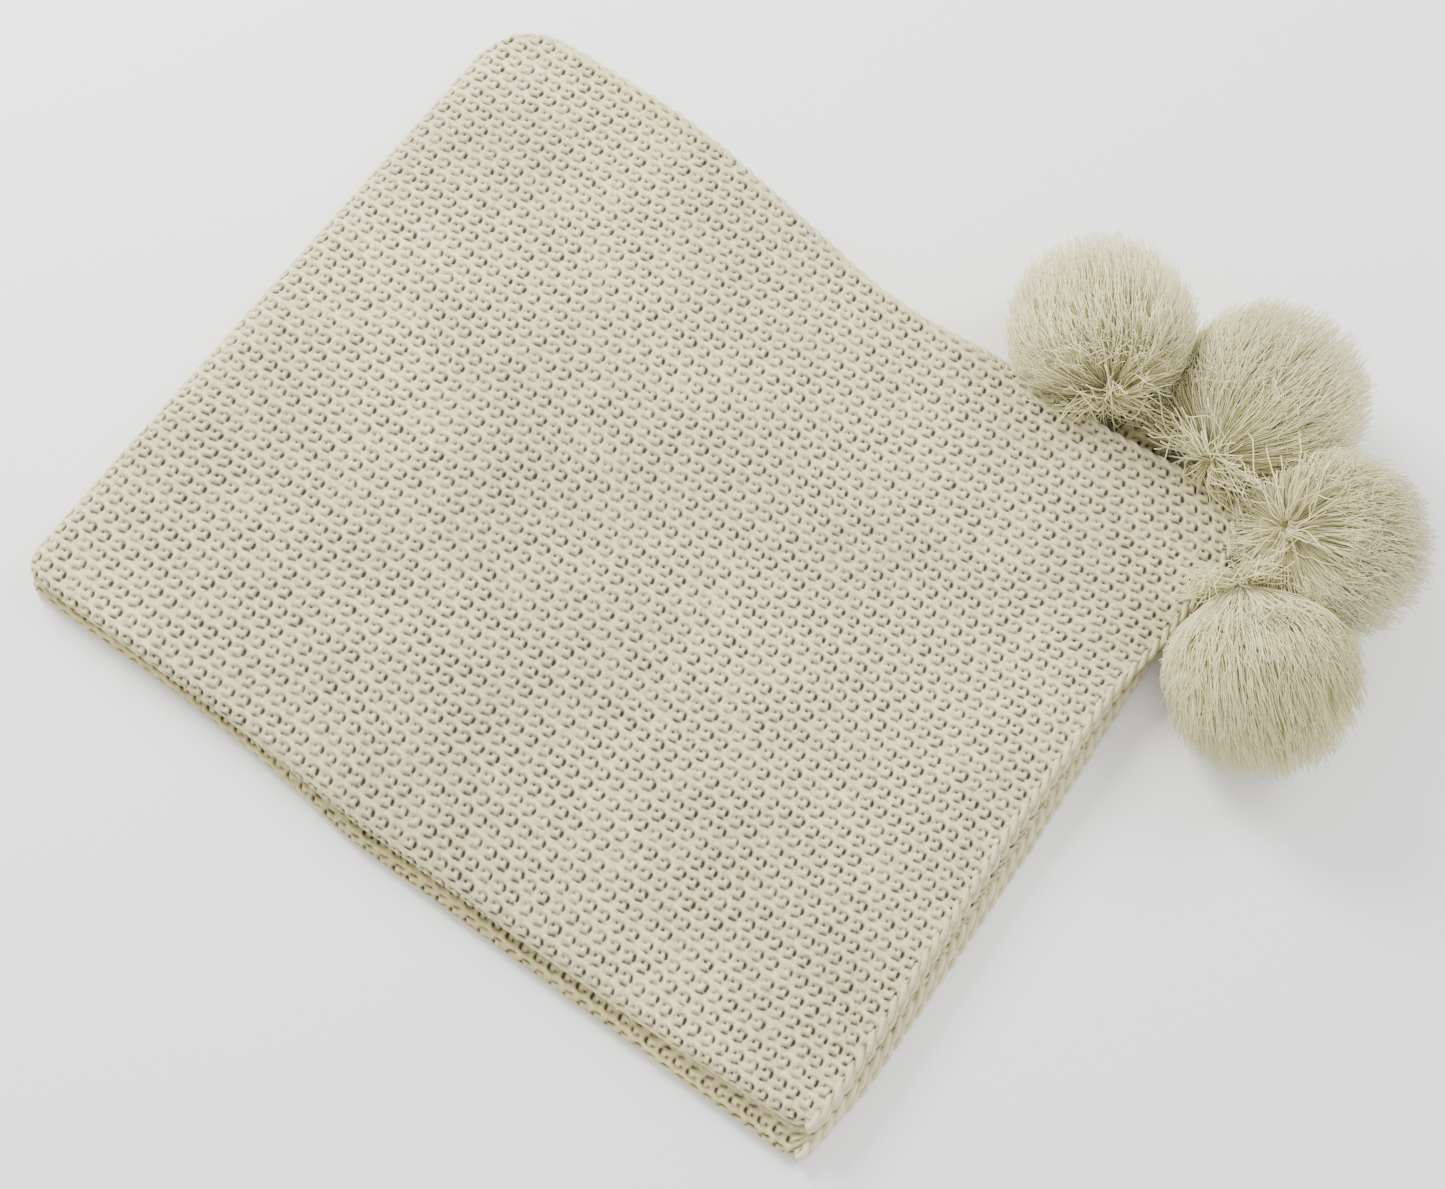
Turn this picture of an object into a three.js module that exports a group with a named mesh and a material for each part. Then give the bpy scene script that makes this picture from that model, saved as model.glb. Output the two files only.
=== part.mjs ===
// A knitted throw, folded in half twice, with a yarn pom-pom on each of its four corners.
//
// The cloth is one chunky knitted rectangle. Its first fold runs along the front, so each
// half is two layers joined by a tight U-bend. Its second fold runs along the left, where
// the outer layer wraps round the inner one. The stack is split at mid-height there, so the
// upper half opens like the cover of a book. All four corners of the cloth meet at the back
// right corner of the stack, and the four pom-poms lie around it.
//
// Millimetres, +Z up. While it is built, X = 0 is the outermost line of the left fold, Y = 0
// is the outermost line of the front fold, and Z = 0 is the surface that the throw lies on.
import * as THREE from 'three';

// The flat cloth, and the bends that take up part of its length.
const CLOTH_LENGTH = 1200;
const CLOTH_WIDTH = 1000;
const LAYER = 7;
const GAP = 0.3;
const PITCH = LAYER + GAP;

// The left fold: two nested half-rings about one centre line, half the stack in radius.
const STACK_MIDDLE = 2 * PITCH - GAP / 2;
const OUTER_BEND_RADIUS = STACK_MIDDLE;
const INNER_BEND_RADIUS = LAYER + GAP / 2;
const STACK_WIDTH = (CLOTH_LENGTH - Math.PI * OUTER_BEND_RADIUS) / 2 + OUTER_BEND_RADIUS;

// The front fold: one U-bend in each half, the upper one drawn back from the lower one.
const U_RADIUS = LAYER + GAP / 2;
const UPPER_SETBACK = 8;
const STACK_DEPTH = (CLOTH_WIDTH - Math.PI * U_RADIUS) / 2 + U_RADIUS;

// The chain edging worked along the open edges of the cloth.
const EDGING = 6;

// The back edge lies in a slow wave: how far it stands off the straight line at each tenth
// of the stack's width or so.
const BACK_WAVE = [[0.03, 6], [0.12, 16], [0.23, 19], [0.41, 5], [0.56, -8], [0.69, -1], [0.84, -1], [1, 8]];

// Yarn colours.
const KNIT = '#d8d0b8';
const KNIT_SHADE = '#cbc2a4';
const TUFT = '#ded6bc';
const BINDING = '#b9ad86';

const throwGroup = new THREE.Group();
throwGroup.name = 'folded_throw';

function addPiece(name, geometry, color, roughness = 0.95) {
  const material = new THREE.MeshStandardMaterial({ color, roughness, metalness: 0 });
  const mesh = new THREE.Mesh(geometry, material);
  mesh.name = name;
  throwGroup.add(mesh);
  return mesh;
}

// A plan outline, given as points in X and Y, raised to one layer's thickness.
function layerSlab(outline, thickness = LAYER) {
  const shape = new THREE.Shape(outline);
  return new THREE.ExtrudeGeometry(shape, { depth: thickness, bevelEnabled: false, steps: 1 });
}

const waveCurve = new THREE.SplineCurve(
  BACK_WAVE.map(([along, offset]) => new THREE.Vector2(along * STACK_WIDTH, STACK_DEPTH + offset)));

// The back edge from the left bend to the open corner, set in by a given amount.
function backEdge(setIn, fromX, toX) {
  const samples = waveCurve.getPoints(48).filter((p) => p.x > fromX && p.x < toX);
  const heightAt = (x) => {
    const after = waveCurve.getPoints(200).find((p) => p.x >= x);
    return (after ?? waveCurve.getPoint(1)).y;
  };
  const inner = samples.map((p) => new THREE.Vector2(p.x, p.y - setIn));
  return [
    new THREE.Vector2(fromX, heightAt(fromX) - setIn),
    ...inner,
    new THREE.Vector2(toX, heightAt(toX) - setIn),
  ];
}

// ---- The four flat layers, each with its edging along the two open sides ----

const layers = [1, 2, 3, 4].map((number) => ({
  number,
  floor: (number - 1) * PITCH,
  front: U_RADIUS + GAP + (number > 2 ? UPPER_SETBACK : 0),
}));

const bendLine = OUTER_BEND_RADIUS + GAP;
const panelRight = STACK_WIDTH - EDGING - GAP;

function layerPanel({ number, floor, front }) {
  const outline = [
    new THREE.Vector2(bendLine, front),
    new THREE.Vector2(panelRight, front),
    ...backEdge(EDGING + GAP, bendLine, panelRight).reverse(),
  ];
  const panel = addPiece(`layer_${number}_panel`, layerSlab(outline), number % 2 ? KNIT : KNIT_SHADE);
  panel.position.z = floor;
}

function layerEdgings({ number, floor, front }) {
  const outer = backEdge(0, bendLine, STACK_WIDTH);
  const inner = backEdge(EDGING, bendLine, STACK_WIDTH);
  const side = addPiece(`layer_${number}_side_edging`, layerSlab([...inner, ...outer.reverse()]), KNIT);
  side.position.z = floor;

  const cornerY = inner[inner.length - 1].y - 2 * EDGING;
  const end = addPiece(`layer_${number}_end_edging`, layerSlab([
    new THREE.Vector2(STACK_WIDTH - EDGING, front),
    new THREE.Vector2(STACK_WIDTH, front),
    new THREE.Vector2(STACK_WIDTH, cornerY),
    new THREE.Vector2(STACK_WIDTH - EDGING, cornerY),
  ]), KNIT);
  end.position.z = floor;
}

for (const layer of layers) {
  layerPanel(layer);
  layerEdgings(layer);
}

// The bottom layer's corner is drawn along the back edge and shows there as a small tab.
const TAB_WIDTH = 30;
const TAB_REACH = 18;
const TAB_X = STACK_WIDTH - 94;
const tabEdge = backEdge(-GAP, TAB_X, TAB_X + TAB_WIDTH);
const tabTip = tabEdge[0].y + TAB_REACH;
addPiece('layer_1_corner_tab', layerSlab([
  ...tabEdge,
  new THREE.Vector2(TAB_X + TAB_WIDTH - 8, tabTip),
  new THREE.Vector2(TAB_X + 4, tabTip),
]), KNIT_SHADE);

// ---- The bends ----

// A ring sector in a vertical plane, from one radius to another.
function ringSector(innerRadius, outerRadius, fromAngle, toAngle) {
  const shape = new THREE.Shape();
  shape.absarc(0, 0, outerRadius, fromAngle, toAngle, false);
  shape.absarc(0, 0, innerRadius, toAngle, fromAngle, true);
  shape.closePath();
  return shape;
}

// Each quarter of the left fold stops a little short of mid-height, where the halves part.
function leftFoldQuarter(name, innerRadius, outerRadius, isUpper, color) {
  const clearAngle = Math.asin(GAP / 2 / innerRadius);
  const fromAngle = isUpper ? Math.PI / 2 : Math.PI + clearAngle;
  const toAngle = isUpper ? Math.PI - clearAngle : 1.5 * Math.PI;
  const depth = STACK_DEPTH - 2 * U_RADIUS;
  const geometry = new THREE.ExtrudeGeometry(
    ringSector(innerRadius, outerRadius, fromAngle, toAngle),
    { depth, bevelEnabled: false, curveSegments: 8 });
  const bend = addPiece(name, geometry, color);
  bend.rotation.x = Math.PI / 2;
  bend.position.set(OUTER_BEND_RADIUS, U_RADIUS + depth, STACK_MIDDLE);
}

// The innermost layer keeps an open eye of this radius, as a thick knit does at a fold.
const FOLD_EYE = 1;
for (const isUpper of [false, true]) {
  const half = isUpper ? 'upper' : 'lower';
  leftFoldQuarter(`outer_fold_${half}`, INNER_BEND_RADIUS + GAP, OUTER_BEND_RADIUS, isUpper, KNIT);
  leftFoldQuarter(`inner_fold_${half}`, FOLD_EYE, INNER_BEND_RADIUS, isUpper, KNIT_SHADE);
}

// The front U-bend of one half, from the left bend to the open end.
function frontBend(name, setback, centreHeight) {
  const length = STACK_WIDTH - bendLine;
  const geometry = new THREE.ExtrudeGeometry(
    ringSector(FOLD_EYE, U_RADIUS, Math.PI / 2, 1.5 * Math.PI),
    { depth: length, bevelEnabled: false, curveSegments: 12 });
  const bend = addPiece(name, geometry, KNIT);
  bend.rotation.set(Math.PI / 2, Math.PI / 2, 0);
  bend.position.set(bendLine, setback + U_RADIUS, centreHeight);
}

frontBend('lower_half_front_fold', 0, PITCH - GAP / 2);
frontBend('upper_half_front_fold', UPPER_SETBACK, 3 * PITCH - GAP / 2);

// ---- The pom-poms ----

// Each is a ball of cut yarn bound at a waist, which sits in a dimple on the side towards
// its corner. A short tail runs from the binding to a stitched knot on the layer's corner.
// Places are measured from the open back right corner of the stack.
const BALL_RADIUS = 46;
const TIE_RADIUS = 7;
const TIE_HEIGHT = 6;
const TAIL_RADIUS = 2.4;
const KNOT_RADIUS = 4;
const corner = new THREE.Vector3(STACK_WIDTH, STACK_DEPTH, 0);
const POMPOMS = [
  { number: 1, ball: [-146, 50, 49.5], knot: [-99, 15, 5], stretch: 1, waist: 38, mouth: 17 },
  { number: 2, ball: [66, -110, 49.5], knot: [5, -30, 11], stretch: 1.1, waist: 46, mouth: 17 },
  { number: 3, ball: [-29, 78, 49.5], knot: [-35, 13, 18], stretch: 1.1, waist: 46, mouth: 17 },
  { number: 4, ball: [54, -3, 66], knot: [-3, 2, 4 * PITCH + 4.5], stretch: 1, waist: 26, mouth: 28 },
];

// The ball's half-profile, from the floor of the dimple round to the far pole.
function ballProfile({ stretch, waist, mouth }) {
  const halfLength = BALL_RADIUS * stretch;
  const dimpleFloor = waist - TIE_HEIGHT / 2 - GAP;
  const mouthAngle = Math.asin(mouth / BALL_RADIUS);
  const profile = [new THREE.Vector2(0, dimpleFloor), new THREE.Vector2(TIE_RADIUS + 1.5, dimpleFloor)];
  const steps = 12;
  for (let step = 0; step < steps; step += 1) {
    const angle = mouthAngle + (Math.PI - mouthAngle) * step / steps;
    profile.push(new THREE.Vector2(BALL_RADIUS * Math.sin(angle), halfLength * Math.cos(angle)));
  }
  profile.push(new THREE.Vector2(0, -halfLength));
  return profile.reverse();
}

function discProfile(radius, height) {
  const soften = height * 0.3;
  return [
    new THREE.Vector2(0, -height / 2),
    new THREE.Vector2(radius - soften, -height / 2),
    new THREE.Vector2(radius, -height / 2 + soften),
    new THREE.Vector2(radius, height / 2 - soften),
    new THREE.Vector2(radius - soften, height / 2),
    new THREE.Vector2(0, height / 2),
  ];
}

function addPompom(pompom) {
  const name = `pompom_${pompom.number}`;
  const centre = corner.clone().add(new THREE.Vector3(...pompom.ball));
  const knot = corner.clone().add(new THREE.Vector3(...pompom.knot));
  const towardsKnot = knot.clone().sub(centre).normalize();
  const turn = new THREE.Quaternion().setFromUnitVectors(new THREE.Vector3(0, 1, 0), towardsKnot);

  const ball = addPiece(`${name}_yarn_ball`, new THREE.LatheGeometry(ballProfile(pompom), 24), TUFT);
  ball.position.copy(centre);
  ball.quaternion.copy(turn);

  const tie = addPiece(`${name}_waist_tie`, new THREE.LatheGeometry(discProfile(TIE_RADIUS, TIE_HEIGHT), 16), BINDING);
  tie.position.copy(centre).addScaledVector(towardsKnot, pompom.waist);
  tie.quaternion.copy(turn);

  const tailStart = pompom.waist + TIE_HEIGHT / 2 + GAP;
  const tailEnd = knot.distanceTo(centre) - KNOT_RADIUS - GAP;
  const tailLength = tailEnd - tailStart;
  const tail = addPiece(
    `${name}_tail`, new THREE.CylinderGeometry(TAIL_RADIUS, TAIL_RADIUS, tailLength, 10), BINDING);
  tail.position.copy(centre).addScaledVector(towardsKnot, tailStart + tailLength / 2);
  tail.quaternion.copy(turn);

  const stitch = addPiece(`${name}_corner_knot`, new THREE.SphereGeometry(KNOT_RADIUS, 12, 8), BINDING);
  stitch.position.copy(knot);
}

for (const pompom of POMPOMS) {
  addPompom(pompom);
}

// The origin is the middle of the whole outline, on the surface that the throw lies on.
throwGroup.updateMatrixWorld(true);
const outlineBox = new THREE.Box3().setFromObject(throwGroup, true);
const middle = outlineBox.getCenter(new THREE.Vector3());
throwGroup.position.set(-middle.x, -middle.y, -outlineBox.min.z);

export default throwGroup;
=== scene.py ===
import math

import bpy
import numpy as np
from mathutils import Matrix, Vector


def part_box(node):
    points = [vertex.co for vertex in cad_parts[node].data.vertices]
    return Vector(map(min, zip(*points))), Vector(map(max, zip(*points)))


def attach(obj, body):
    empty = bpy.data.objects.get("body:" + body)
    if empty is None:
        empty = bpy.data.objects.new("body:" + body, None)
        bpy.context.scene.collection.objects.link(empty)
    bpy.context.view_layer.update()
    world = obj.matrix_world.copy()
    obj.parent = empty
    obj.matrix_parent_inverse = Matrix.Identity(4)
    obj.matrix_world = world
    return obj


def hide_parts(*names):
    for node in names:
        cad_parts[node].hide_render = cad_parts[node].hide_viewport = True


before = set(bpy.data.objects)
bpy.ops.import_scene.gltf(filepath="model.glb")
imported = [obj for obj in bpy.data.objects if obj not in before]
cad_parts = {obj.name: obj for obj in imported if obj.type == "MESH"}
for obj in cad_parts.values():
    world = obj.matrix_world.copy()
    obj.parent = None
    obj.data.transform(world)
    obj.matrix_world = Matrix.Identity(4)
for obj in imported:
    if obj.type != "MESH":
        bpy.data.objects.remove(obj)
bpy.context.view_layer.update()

# ---- Camera ----
# It looks down on the folded throw from beyond the front fold, turned so that the fold
# runs from the left of the picture down to the right, with the pom-poms at the upper right.

MM = 0.001
fold_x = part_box("outer_fold_upper")[0].x
front_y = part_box("lower_half_front_fold")[0].y
camera_right = Vector((0.8175, 0.5658, 0.1079))
camera_up = Vector((-0.5676, 0.7594, 0.318))
camera_data = bpy.data.cameras.new("studio_camera")
camera_data.lens = 50.77
camera_data.sensor_width = 36
camera = bpy.data.objects.new("studio_camera", camera_data)
bpy.context.collection.objects.link(camera)
camera_turn = Matrix((camera_right, camera_up, camera_right.cross(camera_up))).transposed()
camera.matrix_world = (
    Matrix.Translation((fold_x + 475.5 * MM, front_y - 151.3 * MM, 1208.6 * MM))
    @ camera_turn.to_4x4()
)
bpy.context.scene.camera = camera


# ---- Knitted cloth ----
# One thick knitted rectangle of soft pale yarn, folded once along the front and once along
# the left. It is made here as two halves, each two layers joined by a bend at the front,
# which meet at mid-height on the left fold. Nothing fixes it but its own folds.

stitch_width = 10.4 * MM
row_height = 11.3 * MM
layer_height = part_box("layer_1_panel")[1].z
stack_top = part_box("layer_4_panel")[1].z
half_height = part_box("layer_2_panel")[1].z
bend_radius = stack_top / 2
u_radius = half_height / 2
cloth_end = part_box("layer_4_end_edging")[1].x - fold_x
edging_width = 4 * MM
layer_depth = 0.49
pull_start = 0.33
hidden_gap = 0.5
random_stitches = np.random.default_rng(7)
stitch_jitter = random_stitches.uniform(-1, 1, (48, 64, 4))


def eased_line(points, soften=0.04):
    """A smooth line through places and offsets, both in millimetres."""
    places, offsets = (np.array(values) * MM for values in zip(*points))
    fine = np.arange(-0.1, 0.8, 0.001)
    window = np.hanning(int(soften / 0.001) | 1)
    edge = len(window) // 2
    raw = np.pad(np.interp(fine, places, offsets), edge, mode="edge")
    smooth = np.convolve(raw, window / window.sum(), mode="valid")
    return lambda at: np.interp(at, fine, smooth)


back_line = eased_line([
    (0, 486), (25, 505), (40, 511), (72, 513), (135, 515), (180, 511), (243, 501), (307, 490),
    (347, 489), (405, 496), (452, 497), (491, 496), (542, 502), (588, 508), (600, 506)])
lower_front = eased_line([(0, 12), (35, 9), (110, 10), (164, 9), (220, 5), (260, 0), (600, 0)])
upper_front = eased_line([(0, 14), (35, 13), (150, 14), (260, 8), (450, 10), (560, 14), (600, 17)])

# How far each layer's right edge stands from the straight line, and its back edge likewise.
right_lines = {
    1: eased_line([(0, -8), (60, 1), (230, 5), (350, 4), (470, 7), (510, 0)]),
    2: eased_line([(0, -8), (60, -3), (230, 1), (350, 2), (470, 8), (510, 0)]),
    3: eased_line([(0, -12), (60, -9), (230, -8), (350, -3), (470, 8), (510, -2)]),
    4: eased_line([(0, -14), (60, -12), (230, -12), (345, -6), (385, 2), (466, 9), (510, -4)]),
}
back_shift = {1: -1 * MM, 2: -4 * MM, 3: -2 * MM, 4: 0}


def pull_share(x):
    """How much of the right edge's line each place follows: none until near the right end."""
    return np.clip((x - pull_start) / (cloth_end - pull_start), 0, 1) ** 2


def corner_cut(distance, radius):
    """How far a rounded corner draws an edge in, at a distance from the side next to it."""
    near = np.clip(radius - distance, 0, radius)
    return radius - np.sqrt(radius**2 - near**2)


def back_edge(x, layer):
    line = back_line(x) + back_shift[layer]
    return line - corner_cut(x, 26 * MM) - corner_cut(cloth_end + 4 * MM - x, 9 * MM)


def front_edge(x, is_upper):
    line = upper_front(x) if is_upper else lower_front(x)
    return line + corner_cut(x, 15 * MM) + corner_cut(cloth_end - 4 * MM - x, 13 * MM)


def settle(x, y, z):
    """The cloth sinks towards its folds and lies in slow waves; heights go with it."""
    sink = 0.26 * np.exp(-np.clip(y - 8 * MM, 0, 1) / 0.015)
    sink = sink + 0.15 * np.exp(-np.clip(x, 0, 1) / 0.02)
    wave = np.sin(x / 0.043 + y / 0.071 + 1.1) + np.sin(x / 0.081 - y / 0.052 + 0.4)
    return z * (1 - sink) + 0.4 * MM * wave * (z / stack_top)


yarn_lumps = random_stitches.uniform(-1, 1, (256, 256))


def lumps(across, along, size):
    """Unevenness of the spun yarn, from -1 to 1, with lumps of about that size."""
    i, j = across / size, along / size
    low_i, low_j = np.floor(i).astype(int), np.floor(j).astype(int)
    i, j = i - low_i, j - low_j
    i, j = i * i * (3 - 2 * i), j * j * (3 - 2 * j)
    a, b = low_i % 256, low_j % 256
    c, d = (a + 1) % 256, (b + 1) % 256
    near = yarn_lumps[a, b] * (1 - i) + yarn_lumps[c, b] * i
    return near * (1 - j) + (yarn_lumps[a, d] * (1 - i) + yarn_lumps[c, d] * i) * j


def knit_relief(across, along):
    """The height of the yarn, 0 at its crowns and less in the gaps, and a colour mask from how deep a gap
    is there, which paints shade dark in the gaps, mid-tone over the low places and lighter as a painted
    highlight on the crowns.
    """
    warped = along + 1.9 * MM * np.sin(across / 0.061 + 0.6) + 0.8 * MM * np.sin(across / 0.019)
    sway = 1.5 * MM * np.sin(along / 0.05) + 0.7 * MM * np.sin(along / 0.017 + across / 0.09)
    across = across + sway
    row = np.floor(warped / row_height).astype(int)
    places = across / stitch_width + 0.5 * (row % 2)
    column = np.floor(places).astype(int)
    lean, lift, spread, depth = np.moveaxis(stitch_jitter[row % 48, column % 64], -1, 0)
    x = (places - column - 0.5) * stitch_width + 0.4 * MM * lean
    y = warped - (row + 0.5) * row_height + 0.5 * MM * lift
    loop_radius = 2.75 * MM * (1 + 0.12 * spread)
    up_loop = y + 0.5 * MM
    from_middle = np.hypot(x, up_loop)
    from_loop = np.abs(from_middle - loop_radius)
    turn = np.degrees(np.arctan2(up_loop, x))
    right_leg = np.exp(-((turn - 14 + 8 * lean) / 50) ** 4)
    left_leg = 0.72 * np.exp(-((np.abs(turn) - 158 - 8 * lift) / 26) ** 4) * (turn > 60)
    over = 0.42 * np.exp(-((turn - 90) / 60) ** 4)
    loop_depth = np.maximum(np.maximum(right_leg, left_leg), over)
    dash = np.hypot(np.clip(np.abs(x - 0.2 * MM) - 1.7 * MM, 0, 1), y + 4.6 * MM - 0.3 * x)
    beside = x + 3.4 * MM
    bank = np.hypot(np.clip(np.abs(beside) - 1.5 * MM, 0, 1), y - 0.8 * MM - 0.75 * beside)
    narrow = np.maximum(loop_depth * np.exp(-((from_loop / (0.85 * MM)) ** 2)),
                        0.62 * np.exp(-((dash / (0.8 * MM)) ** 2)))
    wide = np.maximum(loop_depth * np.exp(-((from_loop / (1.9 * MM)) ** 2)),
                      0.66 * np.exp(-((dash / (1.9 * MM)) ** 2)))
    wide = np.maximum(wide, 0.5 * np.exp(-((bank / (1.1 * MM)) ** 2)))
    gap = (0.44 * narrow + 0.5 * wide) * (1 + 0.16 * depth)
    outside_loop = np.exp(-(((from_middle - 4.7 * MM) / (1.2 * MM)) ** 2))
    outside_loop = outside_loop * np.exp(-((turn - 45) / 80) ** 4)
    crown = np.maximum(np.exp(-((from_middle / (1.7 * MM)) ** 2)), outside_loop)
    uneven = lumps(across, along, 1.5 * MM) + 0.6 * lumps(along, across, 2.9 * MM)
    height = -2.1 * MM * gap - 0.2 * MM * (1 + 0.9 * uneven) - 0.5 * MM * (1 - crown)
    # Painted shade: the mask darkens the gaps and gives the rest a mid-tone painted shade, lifted by a
    # painted highlight on the crowns; the uneven yarn adds real tone.
    return height, np.clip(gap + 0.28 - 0.2 * crown + 0.13 * uneven, 0, 1)


def half_section(fine, coarse):
    """The closed loop round one half's two layers, each row of points with what places it.
    Columns: share of the depth, outward offset in y, height, normal in y and height, way
    along the yarn from the bend, share of relief, and 0 for the outer layer to 1 for the inner."""
    outer = np.linspace(1, 0, int(layer_depth / fine))
    inner = np.linspace(0, 1, int(layer_depth / coarse))
    turn = np.linspace(0, math.pi, int(math.pi * u_radius / min(fine, coarse)) + 2)[1:-1]
    rows = [(share, 0, 0, 0, -1, share * layer_depth, 1, 0) for share in outer]
    rows += [
        (0, -u_radius * math.sin(a), u_radius * (1 - math.cos(a)), -math.sin(a), -math.cos(a),
         -u_radius * a, 1, a / math.pi) for a in turn]
    rows += [
        (share, 0, half_height, 0, 1, -math.pi * u_radius - share * layer_depth, 1, 1)
        for share in inner]
    rim = np.linspace(math.pi / 2, -math.pi / 2, 9)[1:-1]
    half_layer = layer_height / 2
    rows += [
        (1, half_layer * 0.7 * math.cos(a), half_height - half_layer + half_layer * math.sin(a),
         math.cos(a), math.sin(a), 0, 0, 1) for a in rim]
    hidden = np.linspace(1, 0.01, 14)
    rows += [(share, 0, half_height - layer_height, 0, -1, 0, 0, 1) for share in hidden]
    rows += [(share, 0, layer_height, 0, 1, 0, 0, 0) for share in hidden[::-1]]
    rows += [
        (1, half_layer * 0.7 * math.cos(a), half_layer + half_layer * math.sin(a),
         math.cos(a), math.sin(a), 0, 0, 0) for a in rim]
    return np.array(rows).T


def yarn_piece(name, points, faces, gaps):
    """A smooth mesh that keeps, at each point, how deep the place lies among the yarn, for the painted
    shade of its material.
    """
    mesh = bpy.data.meshes.new(name)
    mesh.from_pydata(points, [], faces)
    mesh.polygons.foreach_set("use_smooth", np.ones(len(mesh.polygons), bool))
    kept = mesh.attributes.new("gap", "FLOAT", "POINT")
    kept.data.foreach_set("value", gaps.astype(np.float32).ravel())
    piece = bpy.data.objects.new(name, mesh)
    bpy.context.collection.objects.link(piece)
    return piece


def end_triangles(column, side, relief):
    """Triangles that close an end of the cloth, between its outside and its hidden inside."""
    outside, inside = column[relief > 0].tolist(), column[relief == 0][::-1].tolist()
    at_out, at_in = side[relief > 0], side[relief == 0][::-1]
    triangles = []
    i = j = 0
    while i < len(outside) - 1 or j < len(inside) - 1:
        if j == len(inside) - 1 or (i < len(outside) - 1 and at_out[i + 1] >= at_in[j + 1]):
            triangles.append([outside[i], outside[i + 1], inside[j]])
            i += 1
        else:
            triangles.append([outside[i], inside[j + 1], inside[j]])
            j += 1
    return triangles


def half_cloth(name, is_upper, column_step, fine, coarse):
    section = half_section(fine, coarse)
    share, outward, height, normal_y, normal_h, way, relief, inner = section
    arc = bend_radius * math.pi / 2
    length = arc + cloth_end - edging_width - bend_radius
    reach = np.linspace(0, length, int(length / column_step))[:, None]
    turn = np.clip((arc - reach) / bend_radius, 0, math.pi / 2)
    flat_x = np.where(reach < arc, bend_radius * (1 - np.sin(turn)), reach - arc + bend_radius)

    layers = (4, 3) if is_upper else (1, 2)
    back = back_edge(flat_x, layers[0]) * (1 - inner) + back_edge(flat_x, layers[1]) * inner
    back = back - edging_width
    bend_centre = front_edge(flat_x, is_upper) + u_radius
    y = bend_centre + share * (back - bend_centre) + outward
    past_bend = y - bend_centre + math.pi * u_radius
    from_bend = np.where(way < -math.pi * u_radius, past_bend,
                         np.where(share > 0, y - bend_centre, -way))
    from_bend = np.sign(way) * from_bend
    along = bend_centre + from_bend
    across = reach if is_upper else -reach
    stands, gap = knit_relief(across + 0 * y, along)
    ends = np.clip(reach / (2 * MM), 0, 1)
    stands = np.where(relief > 0, stands, -0.4 * MM) * (0.3 + 0.7 * ends)
    y = y + normal_y * stands
    height = height + normal_h * stands

    radius = np.clip(bend_radius - height, 0.3 * MM, None)
    pull = right_lines[layers[0]](y) * (1 - inner) + right_lines[layers[1]](y) * inner
    x = np.where(reach < arc, bend_radius - radius * np.sin(turn), flat_x)
    x = x + pull * pull_share(x)
    z = np.where(reach < arc, bend_radius - radius * np.cos(turn), height)
    if is_upper:
        z = stack_top - z
    z = settle(x, y, z)

    columns, rows = y.shape
    points = np.stack([x + fold_x, y + front_y, z], -1).reshape(-1, 3)
    index = np.arange(columns * rows).reshape(columns, rows)
    after = np.roll(index, -1, axis=1)
    faces = np.stack([index[:-1], after[:-1], after[1:], index[1:]], -1).reshape(-1, 4)
    side = share * (1 - 2 * inner)
    faces = faces[:, ::-1].tolist() + end_triangles(index[0], side, relief)
    faces += [triangle[::-1] for triangle in end_triangles(index[-1], side, relief)]
    if is_upper:
        faces = [face[::-1] for face in faces]
    cloth = yarn_piece(name, points, faces, np.where(relief > 0, gap, hidden_gap))
    # Painted shade: the lower half's front bend, the inner layer of the upper half's bend and a band
    # along the upper half's back edge where it curves down are marked here, and the material darkens them
    # to olive.
    in_front = np.exp(-np.clip(y - bend_centre + u_radius, 0, 1) / 0.013)
    at_back = np.exp(-(((y - back) / 0.016) ** 2) - ((x - 0.11) / 0.07) ** 2)
    yellow = 0.75 * inner * in_front + 0.55 * at_back if is_upper else 0.85 * in_front
    yellowed = cloth.data.attributes.new("yellowed", "FLOAT", "POINT")
    yellowed.data.foreach_set("value", np.clip(yellow, 0, 1).astype(np.float32).ravel())
    return cloth


def add_nodes(tree, **kinds):
    nodes = {name: tree.nodes.new(kind) for name, kind in kinds.items()}
    for name, node in nodes.items():
        node.name = name
    return nodes


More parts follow.
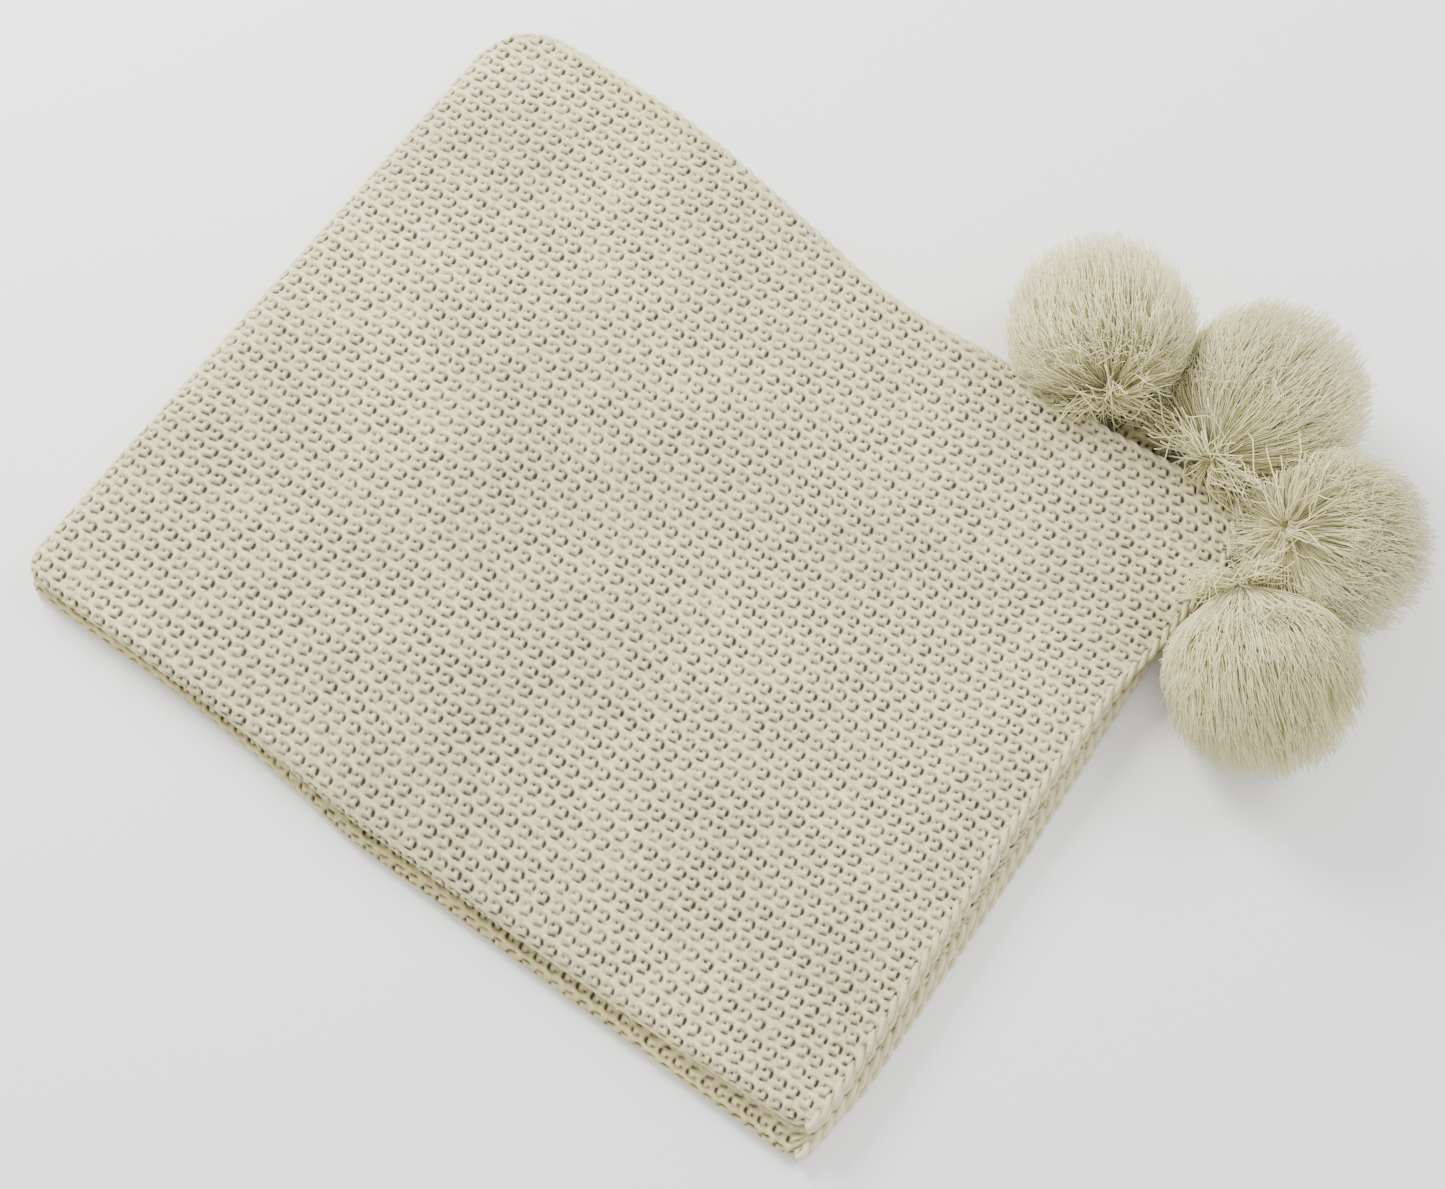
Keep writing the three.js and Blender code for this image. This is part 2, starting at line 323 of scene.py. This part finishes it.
def build_yarn_fibres():
    """Spun yarn up close: loose fibres as a height, and slow changes of tone as a value."""
    group = bpy.data.node_groups.new("yarn_fibres", "ShaderNodeTree")
    group.interface.new_socket("Fibre Scale", in_out="INPUT", socket_type="NodeSocketFloat")
    group.interface.new_socket("Fibre Height", in_out="OUTPUT", socket_type="NodeSocketFloat")
    group.interface.new_socket("Tone", in_out="OUTPUT", socket_type="NodeSocketFloat")
    n = add_nodes(group, inputs="NodeGroupInput", outputs="NodeGroupOutput", place="ShaderNodeTexCoord",
                  fibres="ShaderNodeTexNoise", strands="ShaderNodeTexNoise", slow="ShaderNodeTexNoise",
                  both="ShaderNodeMath", fine_tone="ShaderNodeMath", tone="ShaderNodeMath")
    n["fibres"].inputs["Detail"].default_value = 3
    n["fibres"].inputs["Distortion"].default_value = 1.4
    n["strands"].inputs["Scale"].default_value = 420
    n["slow"].inputs["Scale"].default_value = 9
    n["slow"].inputs["Detail"].default_value = 2
    n["both"].operation = "ADD"
    n["fine_tone"].operation = "MULTIPLY"
    n["fine_tone"].inputs[1].default_value = 0.5
    n["tone"].operation = "ADD"
    link = group.links.new
    for noise in ("fibres", "strands", "slow"):
        link(n["place"].outputs["Object"], n[noise].inputs["Vector"])
    link(n["inputs"].outputs["Fibre Scale"], n["fibres"].inputs["Scale"])
    link(n["fibres"].outputs["Fac"], n["both"].inputs[0])
    link(n["strands"].outputs["Fac"], n["both"].inputs[1])
    link(n["both"].outputs[0], n["outputs"].inputs["Fibre Height"])
    link(n["strands"].outputs["Fac"], n["fine_tone"].inputs[0])
    link(n["slow"].outputs["Fac"], n["tone"].inputs[0])
    link(n["fine_tone"].outputs[0], n["tone"].inputs[1])
    link(n["tone"].outputs[0], n["outputs"].inputs["Tone"])
    return group


yarn_fibres = build_yarn_fibres()


def yarn_material(name, colour_at_0, colour_at_1, fibre_scale, bump, rough=0.9, sheen=0.25):
    """Yarn of two colours, the darker one painted shade, mixed by the gap kept at each point of the mesh,
    from 0 to 1, and darkened further by painted shade in the folds where the mesh marks it.
    """
    material = bpy.data.materials.new(name)
    material.use_nodes = True
    tree = material.node_tree
    shader = tree.nodes["Principled BSDF"]
    shader.inputs["Roughness"].default_value = rough
    shader.inputs["Sheen Weight"].default_value = sheen
    shader.inputs["Sheen Roughness"].default_value = 0.6
    shader.inputs["Specular IOR Level"].default_value = 0.25
    n = add_nodes(tree, gap="ShaderNodeAttribute", fibres="ShaderNodeGroup", colours="ShaderNodeValToRGB",
                  tone="ShaderNodeMapRange", shade="ShaderNodeMix", bump="ShaderNodeBump",
                  yellowed="ShaderNodeAttribute", aged="ShaderNodeMix")
    # Painted shade in the folds: where the mesh marks it, the colour is multiplied by a dull olive.
    n["yellowed"].attribute_name = "yellowed"
    n["aged"].data_type = "RGBA"
    n["aged"].blend_type = "MULTIPLY"
    n["aged"].inputs["B"].default_value = (0.8, 0.76, 0.5, 1)
    n["gap"].attribute_name = "gap"
    n["fibres"].node_tree = yarn_fibres
    n["fibres"].inputs["Fibre Scale"].default_value = fibre_scale
    ramp = n["colours"].color_ramp
    ramp.elements[0].color = (*colour_at_0, 1)
    ramp.elements[1].color = (*colour_at_1, 1)
    ramp.elements[1].position = 0.9
    n["tone"].inputs["From Min"].default_value = 0.45
    n["tone"].inputs["From Max"].default_value = 1.05
    n["tone"].inputs["To Min"].default_value = 0.74
    n["tone"].inputs["To Max"].default_value = 1.1
    n["shade"].data_type = "RGBA"
    n["shade"].blend_type = "MULTIPLY"
    n["shade"].inputs["Factor"].default_value = 1
    n["bump"].inputs["Strength"].default_value = bump
    n["bump"].inputs["Distance"].default_value = 0.4 * MM
    link = tree.links.new
    link(n["gap"].outputs["Fac"], n["colours"].inputs["Fac"])
    link(n["colours"].outputs["Color"], n["aged"].inputs["A"])
    link(n["yellowed"].outputs["Fac"], n["aged"].inputs["Factor"])
    link(n["aged"].outputs["Result"], n["shade"].inputs["A"])
    link(n["fibres"].outputs["Tone"], n["tone"].inputs["Value"])
    link(n["tone"].outputs["Result"], n["shade"].inputs["B"])
    link(n["shade"].outputs["Result"], shader.inputs["Base Color"])
    link(n["fibres"].outputs["Fibre Height"], n["bump"].inputs["Height"])
    link(n["bump"].outputs["Normal"], shader.inputs["Normal"])
    return material


# The first colour is the pale yarn, the second the near-black painted shade in the gaps between stitches.
knit_yarn = yarn_material("knit_yarn", (0.96, 0.88, 0.50), (0.075, 0.054, 0.032), 1500, 0.5)

upper_cloth = half_cloth("upper_half_cloth", True, 0.75 * MM, 0.75 * MM, 1.2 * MM)
lower_cloth = half_cloth("lower_half_cloth", False, 0.95 * MM, 2.2 * MM, 1.0 * MM)
for cloth, half, layers in ((lower_cloth, "lower_half", (1, 2)), (upper_cloth, "upper_half", (3, 4))):
    side = half.split("_")[0]
    cloth.data.materials.append(knit_yarn)
    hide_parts(*[f"layer_{n}_panel" for n in layers],
                f"outer_fold_{side}", f"inner_fold_{side}", f"{half}_front_fold")
    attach(cloth, half)


# ---- Chain edging ----
# The selvedge of each layer, a chain of yarn that rolls over along the edge of the cloth.
# Its loops are as long as a row at the right end, and as a stitch along the back.

def yarn_tubes(name, paths, radii, sides, masks=None):
    """One mesh of closed round strands. paths is strands by points by 3, in the row frame."""
    paths = np.asarray(paths, float)
    count, steps = paths.shape[:2]
    tangent = np.gradient(paths, axis=1)
    tangent /= np.linalg.norm(tangent, axis=2, keepdims=True) + 1e-12
    first = tangent[:, :1]
    guide = np.where(np.abs(first[..., 2:]) < 0.8, [0.0, 0.0, 1.0], [1.0, 0.0, 0.0])
    normal = np.empty_like(paths)
    last = np.cross(first, guide)[:, 0]
    for step in range(steps):
        last = last - tangent[:, step] * np.sum(last * tangent[:, step], 1, keepdims=True)
        last = last / (np.linalg.norm(last, axis=1, keepdims=True) + 1e-12)
        normal[:, step] = last
    binormal = np.cross(tangent, normal)
    radii = np.broadcast_to(radii, (count, steps))[..., None, None]
    angle = np.arange(sides) * 2 * math.pi / sides
    ring = np.cos(angle)[:, None] * normal[:, :, None] + np.sin(angle)[:, None] * binormal[:, :, None]
    points = (paths[:, :, None] + radii * ring).reshape(-1, 3)
    index = np.arange(count * steps * sides).reshape(count, steps, sides)
    after = np.roll(index, -1, axis=2)
    walls = np.stack([index[:, :-1], after[:, :-1], after[:, 1:], index[:, 1:]], -1).reshape(-1, 4)
    caps = index[:, 0, ::-1].tolist() + index[:, -1].tolist()
    gaps = np.zeros((count, steps)) if masks is None else masks
    return yarn_piece(name, points, walls.tolist() + caps, np.repeat(gaps.ravel(), sides))


def rope_round(line, outward, chain, lay, strand):
    """Two strands laid round a line, as a chain edging rolls over. lay is the helix's radius."""
    steps = np.linalg.norm(np.diff(line, axis=0), axis=1)
    way = np.concatenate([[0], np.cumsum(steps)])
    up = np.array([0, 0, 1.0])
    paths = []
    for start in (0, math.pi):
        phase = math.pi * way / chain + start + 0.35 * np.sin(way / 0.031)
        swell = 1 + 0.12 * np.sin(way / 0.013 + start)
        paths.append(line + lay * (swell * np.cos(phase))[:, None] * outward
                     + lay * (swell * np.sin(phase))[:, None] * up)
    paths = np.array(paths)
    paths[..., 2] = np.maximum(paths[..., 2], strand)
    return paths, np.broadcast_to(strand, (2, len(line)))


# Its second colour is painted shade, for yarn deep in the chain.
edging_yarn = yarn_material("edging_yarn", (0.72, 0.655, 0.40), (0.2, 0.165, 0.08), 900, 0.7)


def edging_mask(paths, line):
    """Painted shade: yarn deep in the chain is painted darker than yarn on its outside."""
    return np.clip((line[None, :, 2] - paths[..., 2]) / (3 * MM), 0, 1) * 0.5


chain_step = 0.9 * MM
for layer in (1, 2, 3, 4):
    half = "lower_half" if layer < 3 else "upper_half"
    middle_z = (layer - 0.5) * (stack_top + 0.3 * MM) / 4 - 0.15 * MM
    x = np.arange(bend_radius, cloth_end - 4 * MM, chain_step)
    y = back_edge(x, layer) - 3.4 * MM
    x = x + right_lines[layer](y) * pull_share(x)
    line = np.stack([x + fold_x, y + front_y, settle(x, y, np.full_like(x, middle_z))], 1)
    out = np.gradient(line, axis=0)[:, [1, 0, 2]] * [-1, 1, 0]
    out /= np.linalg.norm(out, axis=1, keepdims=True)
    paths, radii = rope_round(line, out, stitch_width, 1.55 * MM, 1.95 * MM)
    side_edging = yarn_tubes(f"layer_{layer}_side_chain", paths, radii, 7, edging_mask(paths, line))

    first_y = front_edge(cloth_end - 12 * MM, layer > 2) + 3 * MM
    last_y = back_edge(cloth_end - 8 * MM, layer) - 2 * MM
    y = np.arange(first_y, last_y, chain_step)
    x = cloth_end - 3.2 * MM + right_lines[layer](y) - corner_cut(y - y[0] + 2 * MM, 9 * MM)
    line = np.stack([x + fold_x, y + front_y, settle(x, y, np.full_like(x, middle_z))], 1)
    out = np.gradient(line, axis=0)[:, [1, 0, 2]] * [1, -1, 0]
    out /= np.linalg.norm(out, axis=1, keepdims=True)
    paths, radii = rope_round(line, out, row_height, 1.7 * MM, 2.1 * MM)
    end_edging = yarn_tubes(f"layer_{layer}_end_chain", paths, radii, 7, edging_mask(paths, line))

    for chain, node in ((side_edging, "side"), (end_edging, "end")):
        chain.data.materials.append(edging_yarn)
        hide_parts(f"layer_{layer}_{node}_edging")
        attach(chain, half)


# ---- Corner tab ----
# The lowest layer's corner, drawn out along the back so that it shows beyond the stack.
# It is the same knitted cloth, with a rolled rim.

tab_low, tab_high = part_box("layer_1_corner_tab")
tab_columns, tab_rows = 40, 30
tab_count = tab_columns * tab_rows
tab_across = np.linspace(-1, 1, tab_columns)[:, None]
tab_way = np.linspace(0, 1, tab_rows)[None, :]
tab_width = tab_high.x - tab_low.x + 14 * MM
tab_middle = (tab_low.x + tab_high.x) / 2 + 2 * MM
tab_x = tab_middle + tab_across * tab_width / 2 * (1 - 0.3 * tab_way**2)
tab_reach = tab_high.y - tab_low.y + 23 * MM
tab_y = tab_low.y - 4 * MM + tab_way * tab_reach * np.sqrt(1 - 0.55 * tab_across**4)
tab_curl = 12 * MM * tab_way**1.5 + 0 * tab_across
tab_rise, tab_gap = knit_relief(tab_x, tab_y)
tab_edge = np.clip((1 - np.abs(tab_across)) * (1 - tab_way) * 14, 0, 1) ** 0.5
tab_height = tab_curl + layer_height * (0.55 + 0.45 * tab_edge) + tab_rise * tab_edge
tab_top = np.stack([tab_x, tab_y, tab_height], -1)
tab_under = np.stack([tab_x, tab_y, tab_curl + layer_height * 0.42 * (1 - tab_edge)], -1)
tab_points = np.concatenate([tab_top.reshape(-1, 3), tab_under.reshape(-1, 3)])
tab_index = np.arange(tab_count).reshape(tab_columns, tab_rows)
tab_quads = np.stack(
    [tab_index[:-1, :-1], tab_index[1:, :-1], tab_index[1:, 1:], tab_index[:-1, 1:]], -1).reshape(-1, 4)
tab_rim = np.concatenate(
    [tab_index[:, 0], tab_index[-1, 1:], tab_index[-2::-1, -1], tab_index[0, -2:0:-1]])
tab_next = np.roll(tab_rim, -1)
tab_walls = np.stack([tab_rim, tab_rim + tab_count, tab_next + tab_count, tab_next], -1)
tab_faces = tab_quads.tolist() + (tab_quads[:, ::-1] + tab_count).tolist() + tab_walls.tolist()
tab = yarn_piece("layer_1_corner", tab_points, tab_faces, np.tile(tab_gap.ravel(), 2))
tab.data.materials.append(knit_yarn)
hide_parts("layer_1_corner_tab")
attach(tab, "lower_half")


# ---- Pom-poms ----
# One on each corner of the cloth: a thick bundle of cut yarn bound at its root, which falls
# open over itself like a mop. A wound binding holds it, and a twisted tail is knotted to
# the cloth. The bundle lies on the floor, and neighbours press each other flat.

# On a pom-pom the mask is 0 at the root, painted in shade deep in the bundle, and 1 at the pale tips.
pompom_yarn = yarn_material(
    "pompom_yarn", (0.33, 0.285, 0.065), (0.91, 0.85, 0.47), 700, 0.3, 0.75, 0.4)
pompom_heart_painted_shade = yarn_material("pompom_heart_painted_shade", (0.5, 0.44, 0.22), (0.33, 0.28, 0.11), 260, 1.0)
binding_yarn = yarn_material("binding_yarn", (0.62, 0.57, 0.4), (0.3, 0.26, 0.15), 900, 0.7)

binding_depth = {1: 38 * MM, 2: 46 * MM, 3: 46 * MM, 4: 26 * MM}
yarn_reach = {1: 62 * MM, 2: 61 * MM, 3: 64 * MM, 4: 63 * MM}
# From the binding to where the yarn falls open, and from the ball's middle to the bundle's.
opening_shift = {1: (8, -24, 21), 2: (-22, 23, 24), 3: (-6, -28, 22), 4: (-12, -18, 29)}
bundle_shift = {1: (3, -4, 0), 2: (-4, 13, 0), 3: (1, -6, 0), 4: (-2, 4, -6)}
# Loose ends hang into the hollow between the first and third: how many, and which way.
hollow_ends = {1: (130, (20, 30, -40)), 3: (70, (-46, 34, -44))}
lowest_yarn = 0.7 * MM
highest_yarn = 121 * MM
strand_count = 6000
tuft_count = 170


def middle(node):
    low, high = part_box(node)
    return np.array((low + high) / 2)


pompoms = {}
for number in (1, 2, 3, 4):
    knot = middle(f"pompom_{number}_corner_knot")
    tie = middle(f"pompom_{number}_waist_tie")
    axis = (tie - knot) / np.linalg.norm(tie - knot)
    centre = tie + axis * binding_depth[number] + np.array(bundle_shift[number]) * MM
    opening = tie + np.array(opening_shift[number]) * MM
    spread = (centre - opening) / np.linalg.norm(centre - opening)
    pompoms[number] = {"knot": knot, "tie": tie, "axis": axis, "centre": centre,
                       "opening": opening, "spread": spread}


def press(points, number, slack):
    """Keeps yarn above the floor and on its own side of each neighbour."""
    centre = pompoms[number]["centre"]
    points[..., 2] -= 0.14 * np.clip(points[..., 2] - centre[2], 0, 1)
    for other, neighbour in pompoms.items():
        if other == number:
            continue
        apart = neighbour["centre"] - centre
        distance = np.linalg.norm(apart)
        share = distance * yarn_reach[number] / (yarn_reach[number] + yarn_reach[other])
        past = (points - centre) @ (apart / distance) - share
        points = points - np.clip(past + slack, 0, None)[..., None] * 0.85 * (apart / distance)
    floor = 0.9 * MM + slack
    under = np.clip(points[..., 2] - floor, -0.02, 0)
    points[..., 2] = np.where(under < 0, floor + 0.06 * under, points[..., 2])
    points[..., 2] = np.clip(points[..., 2], lowest_yarn, highest_yarn - slack)
    return points


def side_vectors(axis):
    up = np.array([0, 0, 1.0])
    first = np.cross(axis, up)
    first /= np.linalg.norm(first)
    return first, np.cross(first, axis)


def yarn_bundle(number):
    """Strands in tufts, from the root out round the bundle, longest where they lie over it."""
    rng = np.random.default_rng(40 + number)
    pom = pompoms[number]
    first, second = side_vectors(pom["spread"])
    steps = 6
    tuft = rng.integers(0, tuft_count, strand_count)
    spot = np.arange(tuft_count) + 0.5
    tuft_open = math.pi - np.arccos(1 - 1.62 * spot / tuft_count)[::-1]
    tuft_round = spot * 2.39996 + rng.normal(0, 0.15, tuft_count)
    open_angle = tuft_open[tuft] + rng.normal(0, 0.10, strand_count)
    open_angle = math.pi - np.abs(math.pi - open_angle)
    round_angle = rng.normal(0, 0.2, strand_count) / np.clip(np.sin(open_angle), 0.3, 1)
    round_angle = tuft_round[tuft] + round_angle
    shell = yarn_reach[number] * (0.93 + 0.07 * rng.random(strand_count) ** 0.5)
    is_short = rng.random(strand_count) < 0.35
    shell = np.where(is_short, shell * rng.uniform(0.72, 0.97, strand_count), shell)
    aside = np.cos(round_angle)[:, None] * first + np.sin(round_angle)[:, None] * second
    along = -np.cos(open_angle)[:, None]
    end = pom["centre"] + shell[:, None] * (along * pom["spread"] + np.sin(open_angle)[:, None] * aside)
    root = pom["opening"] + pom["spread"] * 4 * MM + aside * rng.uniform(1, 7, strand_count)[:, None] * MM
    lift = np.clip((math.pi - open_angle) / 1.1, 0, 1)
    swing = (0.2 + 0.72 * lift) * shell
    bend = pom["centre"] + swing[:, None] * (-0.5 * lift[:, None] * pom["spread"] + 0.98 * aside)
    t = np.linspace(0, 1, steps)[None, :, None]
    paths = (1 - t) ** 2 * root[:, None] + 2 * t * (1 - t) * bend[:, None] + t**2 * end[:, None]
    waver = rng.normal(0, 1, (strand_count, 2, 3)) * MM
    tuft_sway = rng.normal(0, 1, (tuft_count, 1, 3))[tuft] * MM
    paths = paths + np.sin(t * math.pi) * (2.2 * waver[:, :1] + 3.0 * tuft_sway)
    paths = paths + np.sin(t * 2 * math.pi) * 1.3 * waver[:, 1:] + t**4 * 2.2 * waver[:, 1:]
    slack = rng.uniform(0, 4, (strand_count, 1)) * MM
    paths = press(paths, number, slack)
    radii = 0.34 * MM * (1 - 0.25 * t[..., 0]) * rng.uniform(0.75, 1.15, (strand_count, 1))
    # Painted shade: yarn near the bundle's middle and its root is painted dark olive, pale at the tips;
    # tufts and strands differ in real tone.
    out = np.linalg.norm(paths - pom["centre"], axis=2) / yarn_reach[number]
    masks = np.clip((out - 0.5) * 2.6, 0, 1) * np.clip(0.3 + 1.6 * t[..., 0], 0, 1)
    tuft_tone = rng.normal(0, 0.13, (tuft_count, 1))[tuft]
    masks = np.clip(masks + tuft_tone + rng.normal(0, 0.10, (strand_count, 1)), 0, 1)
    return yarn_tubes(f"pompom_{number}_strands", paths, radii, 3, masks)


def root_curls(number):
    """Short loose ends that curl up round the binding, and those that hang into the hollow."""
    rng = np.random.default_rng(90 + number)
    pom = pompoms[number]
    first, second = side_vectors(pom["spread"])
    count, steps = 50 if number == 4 else 130, 9
    turn = rng.uniform(0, 2 * math.pi, count)
    aside = np.cos(turn)[:, None] * first + np.sin(turn)[:, None] * second
    t = np.linspace(0, 1, steps)[None, :, None]
    length = rng.uniform(18, 42, count)[:, None, None] * MM
    root = pom["opening"] + aside * 4 * MM
    back = -rng.uniform(-0.3, 0.75, count)[:, None, None] * pom["spread"]
    curl = rng.normal(0, 1, (count, 1, 3))
    paths = root[:, None] + length * (t * aside[:, None] + t * back * (1 - 0.6 * t))
    paths = paths + length * 0.16 * (np.sin(t * 4.5) * curl + t**2 * np.roll(curl, 1, 2))
    hanging, way_down = hollow_ends.get(number, (0, (0, 0, 0)))
    ends = np.array(way_down) * MM + rng.normal(0, 1, (hanging, 3)) * (15 * MM, 14 * MM, 5 * MM)
    fall = t * ends[:, None] + np.sin(t * math.pi) * np.array((0, 0, 9 * MM))
    fall = fall + 4 * MM * np.sin(t * 4.5) * curl[:hanging]
    paths = np.concatenate([paths, root[:hanging, None] + fall])
    count = count + hanging
    paths[..., 2] = np.clip(paths[..., 2], 1.2 * MM, highest_yarn)
    radii = np.full((count, steps), 0.44 * MM) * (1 - 0.2 * t[..., 0])
    # Painted shade: loose ends are painted darker near the root, paler towards their tips.
    masks = np.clip(0.45 + 0.6 * t[..., 0] + rng.normal(0, 0.1, (count, 1)), 0, 1)
    return yarn_tubes(f"pompom_{number}_loose_ends", paths, radii, 5, masks)


def heart(number):
    """The dense inside of the bundle, where strands lie too close to tell apart, coloured as painted
    shade: dark olive, and darker in its hollows.
    """
    rng = np.random.default_rng(60 + number)
    pom = pompoms[number]
    rings, around = 48, 72
    polar = np.linspace(0, math.pi, rings)[:, None]
    azimuth = np.linspace(0, 2 * math.pi, around, endpoint=False)[None, :]
    first, second = side_vectors(pom["spread"])
    folds = sum(np.sin(k * azimuth + rng.uniform(0, 6)) * rng.uniform(0.3, 1) for k in (5, 9, 14, 21))
    radius = yarn_reach[number] * (0.78 + 0.016 * folds * np.sin(polar))
    radius = radius * (1 - 0.25 * np.exp(-((polar / 0.5) ** 2)))
    sine, cosine = np.sin(polar) + 0 * azimuth, np.cos(polar) + 0 * azimuth
    points = pom["centre"] + radius[..., None] * (
        -cosine[..., None] * pom["spread"]
        + (sine * np.cos(azimuth))[..., None] * first + (sine * np.sin(azimuth))[..., None] * second)
    points = press(points, number, np.full(radius.shape, 3.0 * MM))
    index = np.arange(rings * around).reshape(rings, around)
    after = np.roll(index, -1, axis=1)
    quads = np.stack([index[1:-2], after[1:-2], after[2:-1], index[2:-1]], -1).reshape(-1, 4)
    tips = [[int(index[0, 0]), int(after[1, k]), int(index[1, k])] for k in range(around)]
    tips += [[int(index[-1, 0]), int(index[-2, k]), int(after[-2, k])] for k in range(around)]
    keep = np.r_[0, around:(rings - 1) * around, (rings - 1) * around]
    renumber = np.zeros(rings * around, int)
    renumber[keep] = np.arange(len(keep))
    faces = [[int(renumber[v]) for v in face][::-1] for face in quads.tolist() + tips]
    # Painted shade: the hollows between the folds are painted darker.
    shade = np.clip(0.5 - 0.3 * (folds + 0 * polar), 0, 1).reshape(-1)[keep]
    return yarn_piece(f"pompom_{number}_heart", points.reshape(-1, 3)[keep], faces, shade)


def wound_binding(number):
    pom = pompoms[number]
    first, second = side_vectors(pom["axis"])
    turns = np.linspace(-1, 1, 140)
    angle = turns * 3.5 * math.pi
    width = 5.6 * MM + 0.5 * MM * np.cos(turns * math.pi / 2)
    path = (pom["tie"] + turns[:, None] * 2.1 * MM * pom["axis"]
            + width[:, None] * (np.cos(angle)[:, None] * first + np.sin(angle)[:, None] * second))
    return yarn_tubes(f"pompom_{number}_binding", path[None], 0.95 * MM, 7)


def twisted_tail(number):
    pom = pompoms[number]
    first, second = side_vectors(pom["axis"])
    start, end = pom["knot"] + pom["axis"] * 3 * MM, pom["tie"]
    t = np.linspace(0, 1, 40)[:, None]
    line = start + t * (end - start)
    paths = []
    for ply in range(3):
        angle = t * 9 + ply * 2 * math.pi / 3
        paths.append(line + 1.15 * MM * (np.cos(angle) * first + np.sin(angle) * second))
    return yarn_tubes(f"pompom_{number}_twisted_tail", paths, 1.15 * MM, 6)


def corner_knot(number):
    """An overhand knot: one strand passing through its own loop."""
    pom = pompoms[number]
    first, second = side_vectors(pom["axis"])
    t = np.linspace(0.12, 2 * math.pi - 0.12, 80)[:, None]
    loop = ((np.sin(t) + 2 * np.sin(2 * t)) * first + (np.cos(t) - 2 * np.cos(2 * t)) * second
            - 1.2 * np.sin(3 * t) * pom["axis"])
    return yarn_tubes(f"pompom_{number}_knot", (pom["knot"] + 0.95 * MM * loop)[None], 1.25 * MM, 7)


for number in pompoms:
    half = "lower_half" if number < 3 else "upper_half"
    ball_body = f"pompom_{number}_ball_body"
    bundle, core = yarn_bundle(number), heart(number)
    curls, binding = root_curls(number), wound_binding(number)
    tail, knot = twisted_tail(number), corner_knot(number)
    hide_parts(f"pompom_{number}_yarn_ball")
    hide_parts(f"pompom_{number}_waist_tie")
    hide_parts(f"pompom_{number}_tail")
    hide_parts(f"pompom_{number}_corner_knot")
    for piece, body, material, finish in (
        (bundle, ball_body, pompom_yarn, "pompom_yarn"),
        (core, ball_body, pompom_heart_painted_shade, "pompom_yarn"),
        (curls, ball_body, pompom_yarn, "pompom_yarn"),
        (binding, ball_body, binding_yarn, "binding_yarn"),
        (tail, f"pompom_{number}_tail_body", binding_yarn, "binding_yarn"),
        (knot, half, binding_yarn, "binding_yarn"),
    ):
        piece.data.materials.append(material)
        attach(piece, body)


# ---- Floor and light ----
# A plain pale floor and soft light: a low panel on the left that brings out the knit, a
# weaker one behind, and an even white surround.

floor_mesh = bpy.data.meshes.new("studio_floor")
floor_mesh.from_pydata([(-6, -6, 0), (6, -6, 0), (6, 6, 0), (-6, 6, 0)], [], [(0, 1, 2, 3)])
floor = bpy.data.objects.new("studio_floor", floor_mesh)
bpy.context.collection.objects.link(floor)
floor_paint = bpy.data.materials.new("studio_floor")
floor_paint.use_nodes = True
floor_shader = floor_paint.node_tree.nodes["Principled BSDF"]
floor_shader.inputs["Base Color"].default_value = (0.94, 0.94, 0.935, 1)
floor_shader.inputs["Roughness"].default_value = 0.9
floor.data.materials.append(floor_paint)

world = bpy.data.worlds.new("studio_surround")
world.use_nodes = True
world.node_tree.nodes["Background"].inputs["Color"].default_value = (1, 1, 1, 1)
world.node_tree.nodes["Background"].inputs["Strength"].default_value = 1.3
bpy.context.scene.world = world


def light_panel(name, place, aim, size, power):
    data = bpy.data.lights.new(name, "AREA")
    data.size = size
    data.energy = power
    panel = bpy.data.objects.new(name, data)
    panel.location = place
    panel.rotation_euler = (Vector(aim) - Vector(place)).to_track_quat("-Z", "Y").to_euler()
    bpy.context.collection.objects.link(panel)


light_panel("key_panel", (-1.5, 0.35, 1.15), (0, 0, 0), 0.7, 62)
light_panel("back_panel", (0.6, 1.5, 1.5), (0, 0, 0), 1.0, 24)
